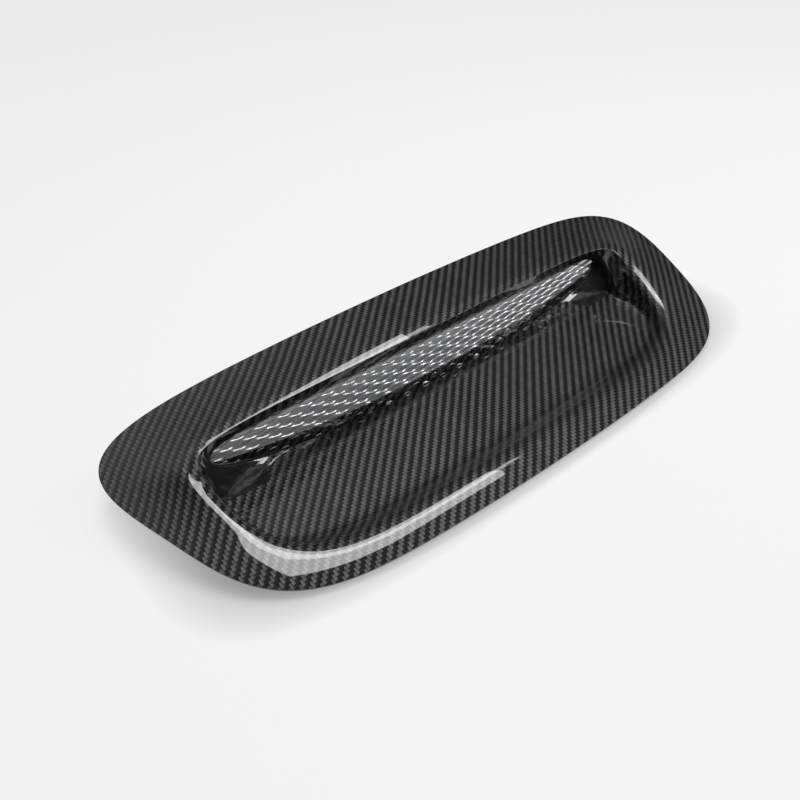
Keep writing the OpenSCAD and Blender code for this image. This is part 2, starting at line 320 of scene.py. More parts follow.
@dataclass
class Groups:
    """The shader groups that the finishes share."""

    twill: bpy.types.NodeTree = field(default_factory=twill_group)
    specks: bpy.types.NodeTree = field(default_factory=speck_group)


@dataclass(frozen=True, kw_only=True)
class Finish:
    """A surface with small specks and slow patches.

    The cells are the specks' scale, the share of cells that hold a speck, and the patches' scale.
    Roughness is the middle value, and patchy is how far it swings.
    """

    name: str
    low: Triple
    high: Triple
    cells: Triple
    roughness: float
    patchy: float
    patch_tint: float = 0.8
    speck_tint: float = 0.4
    bump: tuple[float, float] | None = None
    dent: float = 0.0
    plain: dict[str, float] = field(default_factory=dict)

    def make(self, groups: Groups) -> Material:
        """Builds the material.

        Args:
            groups: The shared groups.

        Returns:
            The material.
        """
        material = bpy.data.materials.new(self.name)
        material.use_nodes = True
        tree = Tree(material.node_tree)
        skin = material.node_tree.nodes["Principled BSDF"]
        cells = dict(zip(("Speck Scale", "Speck Share", "Patch Scale"), self.cells))
        marks = tree.node("ShaderNodeGroup", cells, node_tree=groups.specks)
        speck, patch = (tree.field(marks.outputs[label]) for label in ("Speck", "Patch"))
        self.dress(tree, skin, groups, speck, patch)
        for label, value in self.plain.items():
            skin.inputs[label].default_value = value
        return material

    def dress(self, tree: Tree, skin: bpy.types.Node, groups: Groups, speck: Field, patch: Field) -> None:
        """Joins specks and patches to the surface shader.

        Args:
            tree: The material's tree.
            skin: Its surface shader.
            groups: The shared groups.
            speck: The specks.
            patch: The patches.
        """
        mask = patch * self.patch_tint + speck * self.speck_tint
        tree.link(tree.tint(mask, self.low, self.high), skin.inputs["Base Color"])
        tree.link(patch * self.patchy + (self.roughness - self.patchy / 2), skin.inputs["Roughness"])
        if self.bump:
            depth, strength = self.bump
            height = patch - speck * self.dent
            relief = tree.out("ShaderNodeBump", {"Distance": depth, "Strength": strength, "Height": height})
            tree.link(relief, skin.inputs["Normal"])


@dataclass(frozen=True, kw_only=True)
class TwillFinish(Finish):
    """Twill cloth: low is the weft's colour and high the warp's; the warp's extra lightness is painted
    sheen.
    """

    crown: float
    crimp: float
    drift: float
    shade: tuple[float, float]
    speck_shade: float = 0.0
    speck_rough: float = 0.0
    gap: float = 1.0

    def dress(self, tree: Tree, skin: bpy.types.Node, groups: Groups, speck: Field, patch: Field) -> None:
        """Joins the weave, the specks and the patches to the surface shader.

        Args:
            tree: The material's tree.
            skin: Its surface shader.
            groups: The shared groups.
            speck: The specks.
            patch: The patches.
        """
        lie = {"Crown": self.crown, "Crimp": self.crimp, "Drift": self.drift}
        weave = tree.node("ShaderNodeGroup", lie, node_tree=groups.twill)
        # Painted sheen: warp tows take the lighter colour, standing in for the light that lengthwise tows
        # catch.
        cloth = tree.tint(tree.field(weave.outputs["Warp"]), self.low, self.high)
        swing, base = self.shade
        shade = tree.field(weave.outputs["Shade"]) * swing + base + speck * self.speck_shade
        shade = shade * (1.0 - tree.field(weave.outputs["Gap"]) * (1.0 - self.gap))
        tone = tree.node("ShaderNodeMix", {0: 1.0, 6: cloth, 7: tree.vector(shade, shade, shade)},
                         data_type="RGBA", blend_type="MULTIPLY")
        tree.link(tone.outputs[2], skin.inputs["Base Color"])
        rough = patch * self.patchy + (self.roughness - self.patchy / 2) + speck * self.speck_rough
        tree.link(rough, skin.inputs["Roughness"])
        tree.link(weave.outputs["Normal"], skin.inputs["Normal"])


# Painted sheen: the warp (high) is painted far lighter than the weft (low), though both tows are the same
# fibre.
CLEAR_CARBON = TwillFinish(
    name="clear_coated_twill", low=(0.014, 0.014, 0.015), high=(0.105, 0.105, 0.108),
    cells=(700.0, 0.02, 30.0), roughness=0.58, patchy=0.12, crown=0.22, crimp=0.1, drift=0.06,
    shade=(0.7, 0.65), speck_rough=0.1, gap=0.5,
    plain={"Metallic": 0.9, "Coat Weight": 1.0, "Coat Roughness": 0.025, "Coat IOR": 1.65})
# Painted sheen on the back as well: the warp (high) is painted lighter than the weft (low).
BACK_CARBON = TwillFinish(
    name="laminate_back", low=(0.022, 0.022, 0.023), high=(0.045, 0.045, 0.046),
    cells=(500.0, 0.08, 14.0), roughness=0.525, patchy=0.35, crown=0.25, crimp=0.15, drift=0.1,
    shade=(0.5, 0.6), speck_shade=0.8)
CUT_EDGE = Finish(
    name="trimmed_edge", low=(0.02, 0.02, 0.021), high=(0.07, 0.07, 0.072), cells=(900.0, 0.3, 120.0),
    roughness=0.4, patchy=0.3, patch_tint=0.7, speck_tint=0.3, bump=(0.0002, 0.4),
    plain={"Coat Weight": 0.8, "Coat Roughness": 0.08})
POOLED_RESIN = Finish(
    name="pooled_resin", low=(0.008, 0.008, 0.009), high=(0.03, 0.03, 0.032), cells=(600.0, 0.06, 70.0),
    roughness=0.295, patchy=0.35, bump=(0.0015, 0.9), plain={"Specular IOR Level": 0.15})
BRIGHT_SHEET = Finish(
    name="bright_aluminium", low=(0.86, 0.87, 0.89), high=(0.55, 0.56, 0.58), cells=(1500.0, 0.15, 260.0),
    roughness=0.35, patchy=0.2, speck_tint=0.2, bump=(0.0001, 0.5), plain={"Metallic": 0.72})
CAST_RESIN = Finish(
    name="cast_resin", low=(0.018, 0.018, 0.02), high=(0.05, 0.05, 0.055), cells=(800.0, 0.1, 90.0),
    roughness=0.4, patchy=0.3, speck_tint=0.6, bump=(0.0003, 0.5), dent=0.5)
PLATED_STEEL = Finish(
    name="zinc_plated_steel", low=(0.68, 0.69, 0.72), high=(0.42, 0.43, 0.44), cells=(1200.0, 0.12, 200.0),
    roughness=0.325, patchy=0.25, plain={"Metallic": 1.0})


# --------------------------------------------------------------------------------------------
# Forms


def smooth(t: Array | float) -> Array:
    """Eases from 0 to 1 while its input goes from 0 to 1."""
    u = np.clip(t, 0.0, 1.0)
    return u * u * (3.0 - 2.0 * u)


def unit(v: Array) -> Array:
    """Scales vectors, which lie along the last axis, to length 1."""
    return v / np.maximum(np.linalg.norm(v, axis=-1, keepdims=True), TINY)


def ring_faces(rings: int, steps: int) -> Array:
    """Lists the quads of a closed tube of rings.

    Args:
        rings: How many stations the tube has.
        steps: How many points each station has.

    Returns:
        The quads, station by station.
    """
    here = np.arange(rings * steps).reshape(rings, steps)
    there = np.roll(here, -1, 0)
    quads = np.stack([here, np.roll(here, -1, 1), np.roll(there, -1, 1), there], -1)
    return quads.reshape(-1, 4)


def make_mesh(name: str, points: Array, faces: Sequence[Sequence[int]],
              edges: Sequence[tuple[int, int]] = ()) -> Piece:
    """Makes a smooth mesh piece.

    Args:
        name: The piece's name.
        points: Its points in millimetres.
        faces: Its faces.
        edges: Edges that belong to no face.

    Returns:
        The object, at the origin.
    """
    mesh = bpy.data.meshes.new(name)
    mesh.from_pydata((points.reshape(-1, 3) * MM).tolist(), edges, [list(map(int, f)) for f in faces])
    mesh.update()
    mesh.shade_smooth()
    piece = bpy.data.objects.new(name, mesh)
    bpy.context.scene.collection.objects.link(piece)
    return piece


def map_cloth(piece: Piece, places: Array) -> None:
    """Gives a piece the map that the weave follows.

    Args:
        piece: The piece.
        places: The cloth's place at each point, in repeats.
    """
    layer = piece.data.uv_layers.new(name=WEAVE_MAP)
    corners = np.empty(len(piece.data.loops), np.int32)
    piece.data.loops.foreach_get("vertex_index", corners)
    layer.data.foreach_set("uv", places.reshape(-1, 2)[corners].astype(np.float32).ravel())


def baked(piece: Piece) -> Piece:
    """Turns a piece's modifiers into its mesh.

    Args:
        piece: The piece.

    Returns:
        The same piece, with a plain mesh.
    """
    bpy.context.view_layer.update()
    graph = bpy.context.evaluated_depsgraph_get()
    mesh = bpy.data.meshes.new_from_object(piece.evaluated_get(graph))
    piece.modifiers.clear()
    piece.data = mesh
    return piece


def carried(piece: Piece, slot: Slot, *nodes: str) -> Piece:
    """Puts a piece on the scoop's body.

    Args:
        piece: The piece.
        slot: The record's slot; not used.
        nodes: CAD nodes that it stands for.

    Returns:
        The same piece.
    """
    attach(piece, BODY)
    if nodes:
        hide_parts(*nodes)
    stands_for = ", ".join(nodes) or "no node"
    LOG.info("%s: %d faces, stands for %s", piece.name, len(piece.data.polygons), stands_for)
    return piece


@dataclass(frozen=True)
class ScoopSizes:
    """Sizes that the moulding and the grille share, as the solids have them."""

    half_width: float = 234.5
    front_reach: float = 85.5
    rear_reach: float = 94.0
    end_sweep: float = 16.0
    end_droop: float = 20.5
    fore_aft_crown: float = 7.0
    bonnet_slope: float = 10.2
    rear_flare: float = 0.15
    end_flange: float = 38.0
    front_flange: float = 10.5
    lip_set: float = 39.0
    lip_rise: float = 6.5
    lip_rise_ends: float = 5.0
    lip_climb: float = 75.0
    skin_hollow: float = 1.4
    ramp_depth: float = 27.5
    ramp_fall: float = 2.5
    ramp_droop: float = 8.5
    wall_run: float = 13.0
    foot_bend: float = 11.0
    sill_set: float = 20.0
    sill_sweep: float = 9.5
    sill_bend: float = 2.0
    slot_inset: float = 18.5
    slot_offset: float = 7.0
    slot_set: float = 39.7
    slot_level: float = 9.2
    slot_above: float = 11.5
    slot_below: float = 28.5
    slot_lean: float = 5.3
    slot_sweep: float = 6.3
    slot_droop: float = 5.3
    wall: float = 2.0
    ref_x: float = 200.0
    ref_y: float = 100.0
    home: Triple = (0.0, -6.96104, 42.919)

    @property
    def rim_half(self) -> float:
        """Half of the pocket's width."""
        return self.half_width - self.end_flange

    @property
    def slot_half(self) -> float:
        """Half of the slot's length."""
        return self.rim_half - self.slot_inset

    def leaning(self, x: Array, w: Array, set_back: float, lean: float, depth: Array | float = 0.0) -> Array:
        """Places points by a leaning face that curves with the slot.

        Args:
            x: Places along the face.
            w: Places up the face.
            set_back: Place of the face along the car.
            lean: How far it leans back, in degrees.
            depth: Distances behind the face.

        Returns:
            The points.
        """
        sine, cosine = math.sin(math.radians(lean)), math.cos(math.radians(lean))
        curve = (x / self.ref_x) ** 2
        y = set_back + self.slot_sweep * curve + w * sine + depth * cosine
        z = w * cosine - self.slot_level - self.slot_droop * curve - depth * sine
        return np.stack([x, y, z], -1)


@dataclass(frozen=True)
class Fullness:
    """Exponents of the closed curves: across the car and along it, at the front and the rear."""

    across_front: float
    across_rear: float
    along_front: float
    along_rear: float


OUTLINE = Fullness(7.5, 7.5, 4.0, 2.8)
RIM = Fullness(8.0, 6.5, 3.5, 4.5)
SILL = Fullness(9.0, 9.0, 4.9, 4.9)
SLOT = Fullness(2.2, 10.0, 2.07, 2.5)


def bend(a: Array, b: Array, c: Array, length: Array | float, steps: int) -> list[Array]:
    """Rounds a corner.

    Args:
        a: Line before the corner.
        b: The corner's line.
        c: Line after it.
        length: Length of each leg that the bend takes.
        steps: Lines in the bend.

    Returns:
        The bend's lines.
    """
    most = 0.45
    legs = np.minimum(np.linalg.norm(a - b, axis=-1), np.linalg.norm(c - b, axis=-1))
    d = np.minimum(length, most * legs)[:, None]
    p, q = b + unit(a - b) * d, b + unit(c - b) * d
    return [p * (1 - t) ** 2 + b * 2 * t * (1 - t) + q * t * t for t in np.linspace(0, 1, steps)]


def between(a: Array, b: Array, steps: int) -> list[Array]:
    """Gives the lines between two lines, without the two."""
    return [a + (b - a) * t for t in np.linspace(0, 1, steps + 2)[1:-1]]


def skin_normals(points: Array) -> Array:
    """Upward normals of a skin, whose points go ring by section."""
    along = np.roll(points, -1, 0) - np.roll(points, 1, 0)
    return unit(np.cross(along, np.gradient(points, axis=1)))


@dataclass
class Moulding:
    """The carbon moulding, as sections from the outer edge in to the slot."""

    sizes: ScoopSizes = field(default_factory=ScoopSizes)
    long_steps: int = 72
    end_steps: int = 44
    split: float = 14.0 / 22.0
    flange_rows: int = 16
    roll_rows: int = 19
    foot_rows: int = 9
    ramp_rows: int = 14
    sill_rows: int = 6
    throat_rows: int = 12
    edge_round: float = 0.8
    roll: float = 11.0
    roll_share: float = 0.62
    tuck: float = 14.0
    tuck_share: float = 0.48
    ease: float = 14.0
    front_set: float = 11.0
    end_set: float = 8.0
    foot_inset: float = 9.0
    foot_share: float = 0.4
    sill_inset: float = 12.0
    sill_share: float = 0.7
    centre_set: float = 5.0
    lip_lead: float = 8.5
    lip_drop: float = 3.0
    lip_flat: float = 0.15
    brow: float = 0.13
    brow_reach: float = 24.0
    brow_share: float = 0.95
    pocket_shift: float = 7.0
    pocket_flare: float = 0.15
    pool_from: float = 149.0
    pool_row: int = 68
    ripple: float = 0.16
    crease: float = 0.35
    crease_at: tuple[float, float] = (-186.0, 22.0)
    crease_reach: float = 16.0

    def __post_init__(self) -> None:
        """Lays out the places round the ring."""
        quarter = self.long_steps + self.end_steps
        k = np.arange(4 * quarter)
        quad, rest = k // quarter, (k % quarter) / quarter
        q = np.where(quad % 2 == 0, rest, 1.0 - rest)
        share = self.long_steps / quarter
        self.q = np.where(q <= share, q / share * self.split,
                          self.split + (q - share) / (1.0 - share) * (1.0 - self.split))
        self.side = np.where(quad < 2, 1.0, -1.0)
        self.front = (quad == 0) | (quad == 3)
        past = np.maximum(0.0, (self.q - self.split) / (1.0 - self.split))
        self.rearness = smooth((1.0 + np.where(self.front, past - 1.0, 1.0 - past)) / 2.0)

    def quarter(self, form: Fullness) -> tuple[Array, Array]:
        """Follows a unit closed curve.

        Args:
            form: Its fullness.

        Returns:
            Its reach across and along at each place of the ring.
        """
        across = np.where(self.front, form.across_front, form.across_rear)
        along = np.where(self.front, form.along_front, form.along_rear)
        first = self.q <= self.split
        x = np.clip(0.5 ** (1 / across) * self.q / self.split, 0.0, 1.0)
        y = np.clip(0.5 ** (1 / along) * (1 - self.q) / (1 - self.split), 0.0, 1.0)
        return (np.where(first, x, (1 - y**along) ** (1 / across)),
                np.where(first, (1 - x**across) ** (1 / along), y))

    def ring_xy(self, half: float, centre: float, front: float, rear: float, form: Fullness,
                flare: float, shift: float = 0.0) -> tuple[Array, Array]:
        """Lays a closed curve in plan.

        Args:
            half: Half of its width.
            centre: Place of its middle line.
            front: Reach in front of the middle line.
            rear: Reach behind it.
            form: Its fullness.
            flare: Widening for each reference length rearwards.
            shift: Place of its middle to the left of the scoop's.

        Returns:
            Its places in plan.
        """
        ux, uy = self.quarter(form)
        s = self.sizes
        y = centre + np.where(self.front, -front, rear) * uy
        x = self.side * half * ux - shift
        return x * (1 + flare * y / s.ref_y), y + s.end_sweep * (x / s.half_width) ** 2

    def flange_z(self, x: Array, y: Array) -> Array:
        """Height of the bonnet's surface at places in plan."""
        s = self.sizes
        return (y * math.tan(math.radians(s.bonnet_slope)) - s.end_droop * (x / s.half_width) ** 2
                - s.fore_aft_crown * (y / s.ref_y) ** 2)

    def ramp_z(self, x: Array, y: Array) -> Array:
        """Height of the ramp at places in plan."""
        s = self.sizes
        return -s.ramp_depth - s.ramp_fall * y / s.ref_y - s.ramp_droop * (x / s.ref_x) ** 2

    def rim_rise(self, x: Array, y: Array) -> Array:
        """Height of the rim over the bonnet's surface.

        Args:
            x: Places across.
            y: Places along.

        Returns:
            The heights.
        """
        s = self.sizes
        lip = s.lip_rise + s.lip_rise_ends * (x / s.ref_x) ** 2
        sweep = s.end_sweep * (x / s.half_width) ** 2
        return lip * smooth((y + s.lip_climb - s.lip_set - sweep) / s.lip_climb)

    def rim(self) -> Array:
        """Draws the line of the pocket's rim and lip.

        Returns:
            The line.
        """
        s = self.sizes
        x, y = self.ring_xy(s.rim_half - self.end_set, 0.0, s.front_reach - s.front_flange - self.front_set,
                            s.lip_set, RIM, self.pocket_flare, self.pocket_shift)
        return np.stack([x, y, self.flange_z(x, y) + self.rim_rise(x, y)], -1)

    def slot(self) -> Array:
        """Draws the line of the slot on its leaning face.

        Returns:
            The line.
        """
        s = self.sizes
        ux, uy = self.quarter(SLOT)
        x = self.side * s.slot_half * ux - s.slot_offset
        return s.leaning(x, np.where(self.front, -s.slot_below, s.slot_above) * uy, s.slot_set, s.slot_lean)

    def raised(self, x: Array, y: Array, rim: Array, slot: Array, share: float) -> Array:
        """Lays a line on the ramp in front, and lifts it between rim and slot at the rear.

        Args:
            x: Places across.
            y: Places along.
            rim: The rim's line.
            slot: The slot's line.
            share: Its place between them at the rear, from the rim.

        Returns:
            The line.
        """
        low = np.stack([x, y, self.ramp_z(x, y)], -1)
        high = rim * (1 - share) + slot * share
        return low + (high - low) * self.rearness[:, None]

    def foot(self, rim: Array, slot: Array) -> Array:
        """Draws the line at the foot of the pocket's wall.

        Args:
            rim: The rim's line.
            slot: The slot's line.

        Returns:
            The foot's line.
        """
        s = self.sizes
        reach = s.front_reach - s.front_flange - s.wall_run - self.ease + self.centre_set
        x, y = self.ring_xy(s.rim_half - self.foot_inset, self.centre_set, reach,
                            s.lip_set - self.centre_set, RIM, self.pocket_flare, self.pocket_shift)
        return self.raised(x, y, rim, slot, self.foot_share)

    def sill(self, rim: Array, slot: Array) -> Array:
        """Draws the line where the ramp ends and the throat begins.

        Args:
            rim: The rim's line.
            slot: The slot's line.

        Returns:
            The sill's line.
        """
        s = self.sizes
        ux, uy = self.quarter(SILL)
        x = self.side * (s.rim_half - self.sill_inset) * ux - self.pocket_shift
        y = s.sill_set + s.sill_sweep * (x / s.ref_x) ** 2 + self.centre_set * (1 - uy)
        return self.raised(x, y, rim, slot, self.sill_share)

    def flange(self, rim: Array, t: Array | float) -> Array:
        """Draws a line on the flange.

        Args:
            rim: The rim's line.
            t: Place between the outer edge, 0, and the rim, 1.

        Returns:
            The line.
        """
        s = self.sizes
        ex, ey = self.ring_xy(s.half_width, 0.0, s.front_reach, s.rear_reach, OUTLINE, s.rear_flare)
        x, y = ex + (rim[:, 0] - ex) * t, ey + (rim[:, 1] - ey) * t
        rise = self.rim_rise(rim[:, 0], rim[:, 1]) * t**s.skin_hollow
        width = np.hypot(rim[:, 0] - ex, rim[:, 1] - ey)
        reach = np.minimum(self.brow_reach, self.brow_share * width)
        into = np.maximum(0.0, 1.0 - (1.0 - t) * width / reach)
        rise = rise - 0.5 * self.brow * reach * into**2 * (1.0 - self.rearness)
        return np.stack([x, y, self.flange_z(x, y) + rise], -1)

    def rim_roll(self, rim: Array, foot: Array) -> tuple[list[Array], Array]:
        """Rolls the flange over into the pocket's wall, widely at the ends and tightly at the lip.

        Args:
            rim: The rim's line.
            foot: The line at the wall's foot.

        Returns:
            The roll's lines, and where on the flange each of them starts.
        """
        width, step = np.linalg.norm(rim - self.flange(rim, 0.0), axis=-1), 0.01
        outer = np.minimum(self.roll + (self.lip_lead - self.roll) * self.rearness, self.roll_share * width)
        start = 1.0 - outer / width
        first = self.flange(rim, start)
        course = unit(self.flange(rim, start + step) - first)
        wall = np.linalg.norm(foot - rim, axis=-1)
        inner = np.minimum(self.tuck + (self.lip_drop - self.tuck) * self.rearness, self.tuck_share * wall)
        last = rim + unit(foot - rim) * inner[:, None]
        middle = first + course * outer[:, None]
        reach = (2 / 3 + (self.lip_flat - 2 / 3) * self.rearness)[:, None]
        lead, trail = first + (middle - first) * reach, last + (middle - last) * reach
        arc = [first * (1 - t) ** 3 + lead * 3 * t * (1 - t) ** 2 + trail * 3 * t * t * (1 - t) + last * t**3
               for t in np.linspace(0, 1, self.roll_rows)]
        return arc, start

    def top(self) -> tuple[Array, list[int]]:
        """Draws the show side.

        Returns:
            Its points, ring by section, and the rows where rim, foot, sill and throat begin.
        """
        s, first = self.sizes, 0.02
        rim, slot = self.rim(), self.slot()
        foot, sill = self.foot(rim, slot), self.sill(rim, slot)
        rim_arc, start = self.rim_roll(rim, foot)
        foot_arc = bend(rim, foot, sill, s.foot_bend, self.foot_rows)
        sill_arc = bend(foot, sill, slot, s.sill_bend, self.sill_rows)
        shares = np.linspace(0, 1, self.flange_rows + 1)[:-1]
        parts = ([self.flange(rim, first + (start - first) * t) for t in shares],
                 rim_arc + between(rim_arc[-1], foot_arc[0], 1),
                 foot_arc + between(foot_arc[-1], sill_arc[0], self.ramp_rows),
                 sill_arc, between(sill_arc[-1], slot, self.throat_rows))
        starts = np.cumsum([len(part) for part in parts[:-1]])
        return np.stack(sum(parts, []), 1), starts.tolist()

    def cloth(self, points: Array) -> Array:
        """Lays the cloth over the show side: its own length is kept down the steep walls.

        Args:
            points: The skin's points, ring by section.

        Returns:
            The cloth's map, in repeats of the weave.
        """
        far_row, steep, span = 20, 0.2, 0.4
        step = np.diff(points, axis=1)
        length = np.linalg.norm(step, axis=-1, keepdims=True)
        plan = step[..., :2]
        flat = np.linalg.norm(plan, axis=-1, keepdims=True)
        inward = unit(points[:, far_row:far_row + 1, :2] - points[:, :1, :2])
        level = smooth((flat / np.maximum(length, TINY) - steep) / span)
        way = unit(level * unit(plan) + (1 - level) * inward)
        moved = np.concatenate([points[:, :1, :2], way * length], 1)
        return np.cumsum(moved, axis=1) / CLOTH_REPEAT

    def rippled(self, points: Array, starts: list[int]) -> Array:
        """Lets the resin lie unevenly in the throat, and in folds in its left corner.

        Args:
            points: The skin's points, ring by section.
            starts: The rows where rim, foot, sill and throat begin.

        Returns:
            The uneven points.
        """
        _, foot_row, _, throat_row = starts
        rows = np.arange(points.shape[1])[None]
        x, y, z = points[..., 0], points[..., 1], points[..., 2]
        end = smooth((points.shape[1] - rows) / 3.0)
        across = np.sin(x * 0.43 + 1.3 * np.sin(y * 0.31))
        along = np.sin(y * 0.37 + z * 0.5 + 1.7 * np.sin(x * 0.11))
        waves = across * along + 0.6 * np.sin(x * 0.91 - y * 0.55 + 2.0 * np.sin(z * 0.4))
        depth = self.ripple * waves * smooth((rows - throat_row + 2) / 3.0) * end
        off_x, off_y = ((place - at) / self.crease_reach for place, at in zip((x, y), self.crease_at))
        corner = np.exp(-(off_x**2) - off_y**2)
        folds = (np.sin(0.62 * x + 0.9 * y + 2.2 * np.sin(0.21 * x - 0.17 * z))
                 + 0.5 * np.sin(1.1 * x - 0.5 * y))
        depth += self.crease * folds * corner * smooth((rows - foot_row + 1) / 4.0) * end
        return points + skin_normals(points) * depth[..., None]

    def section_loop(self) -> tuple[Array, Array, Array]:
        """Closes each section: the show side, the slot's edge, the back and the outer edge.

        Returns:
            The points, the cloth's map and the finish of each row of faces.
        """
        s, tightest, least, show_out, show_in = self.sizes, 0.7, 1e-6, 5, 3
        top, starts = self.top()
        cloth = np.moveaxis(self.cloth(top), 1, 0)
        normal = skin_normals(top)
        turn = np.linalg.norm(np.gradient(normal, axis=1), axis=-1)
        stride = np.linalg.norm(np.gradient(top, axis=1), axis=-1)
        wall = np.minimum(s.wall, tightest * stride / np.maximum(turn, least))
        for _ in range(6):
            wall = np.minimum(wall, (np.roll(wall, 1, 1) + 2 * wall + np.roll(wall, -1, 1)) / 4)
        wall[:, 0] = wall[:, -1] = s.wall
        back = top - normal * wall[..., None]
        top = self.rippled(top, starts)
        edge, slot = self.flange(self.rim(), 0.0), self.slot()
        edge_back, slot_back = edge - normal[:, 0] * s.wall, slot - normal[:, -1] * s.wall
        outer = bend(back[:, 0], edge_back, edge, self.edge_round, 4)
        outer += bend(edge_back, edge, top[:, 0], self.edge_round, 5)
        inner = bend(top[:, -1], slot, slot_back, self.edge_round, 5)
        inner += bend(slot, slot_back, back[:, -1], self.edge_round, 4)
        rows = [*outer, *np.moveaxis(top, 1, 0), *inner, *np.moveaxis(back, 1, 0)[::-1]]
        maps = [*[cloth[0]] * len(outer), *cloth, *[cloth[-1]] * len(inner), *cloth[::-1]]
        looks = [Look.EDGE] * (len(outer) - show_out)
        looks += [Look.SHOW] * (show_out + top.shape[1] + show_in)
        looks += [Look.EDGE] * (len(inner) - show_in)
        looks += [Look.BACK] * (len(rows) - len(looks))
        return np.stack(rows, 1) + np.array(s.home), np.stack(maps, 1), np.array(looks)

    def pooled(self, points: Array, looks: Array) -> Array:
        """Finds the faces in the throat's corners where resin covers the cloth.

        Args:
            points: The moulding's points, ring by section.
            looks: The finish of each face.

        Returns:
            True for those faces.
        """
        x, y, z = np.moveaxis(points - np.array(self.sizes.home), -1, 0)
        fringe = 4.0 * np.sin(0.35 * y + 0.2 * z) + 2.5 * np.sin(0.9 * z + 0.4 * y)
        far = np.abs(x + self.pocket_shift) > self.pool_from + fringe
        return far & (looks == Look.SHOW) & (np.arange(points.shape[1]) >= self.pool_row)

    def build(self, groups: Groups) -> Piece:
        """Makes the moulding and dresses it.

        Args:
            groups: The shared shader groups.

        Returns:
            The moulding.
        """
        points, cloth, looks = self.section_loop()
        rings, steps = points.shape[:2]
        piece = make_mesh("laminate", points, ring_faces(rings, steps))
        map_cloth(piece, cloth)
        for finish in (CLEAR_CARBON, BACK_CARBON, CUT_EDGE, POOLED_RESIN):
            piece.data.materials.append(finish.make(groups))
        looks = np.tile(looks, (rings, 1))
        looks[self.pooled(points, looks)] = Look.POOL
        piece.data.polygons.foreach_set("material_index", looks.ravel().astype(np.int32))
        piece.data.update()
        return carried(piece, Slot.LAMINATE, "scoop_shell")


# --------------------------------------------------------------------------------------------
# Geometry node trees


class Shaper:
    """A geometry node tree with named inputs, and the piece that it shapes."""

    def __init__(self, name: str, values: dict[str, float], material: Material) -> None:
        """Starts the tree.

        Args:
            name: Name of the piece and its tree.
            values: Number inputs and their values.
            material: Finish of the piece.
        """
        self.name, self.values, self.material = name, values, material
        group = bpy.data.node_groups.new(name, "GeometryNodeTree")
        new = group.interface.new_socket
        new("Geometry", in_out="INPUT", socket_type="NodeSocketGeometry")
        self.sockets = {label: new(label, in_out="INPUT", socket_type="NodeSocketFloat") for label in values}
        self.look = new("Finish", in_out="INPUT", socket_type="NodeSocketMaterial")
        new("Geometry", in_out="OUTPUT", socket_type="NodeSocketGeometry")
        self.tree = Tree(group)
        self.start = self.tree.node("NodeGroupInput")

    def given(self, label: str) -> Field:
        """Value of a named input."""
        return self.tree.field(self.start.outputs[label])

    def finish(self, geometry: Socket, base: Piece) -> Piece:
        """Ends the tree, runs it on a piece and keeps the result as its mesh.

        Args:
            geometry: What the tree has made.
            base: The piece that the tree starts from.

        Returns:
            The piece with its plain mesh.
        """
        real = self.tree.out("GeometryNodeRealizeInstances", {0: geometry})
        dressed = {"Geometry": real, "Material": self.start.outputs["Finish"]}
        self.tree.node("NodeGroupOutput", {0: self.tree.out("GeometryNodeSetMaterial", dressed)})
        modifier = base.modifiers.new(self.name, "NODES")
        modifier.node_group = self.tree.tree
        for label, socket in self.sockets.items():
            modifier[socket.identifier] = float(self.values[label])
        modifier[self.look.identifier] = self.material
        return baked(base)


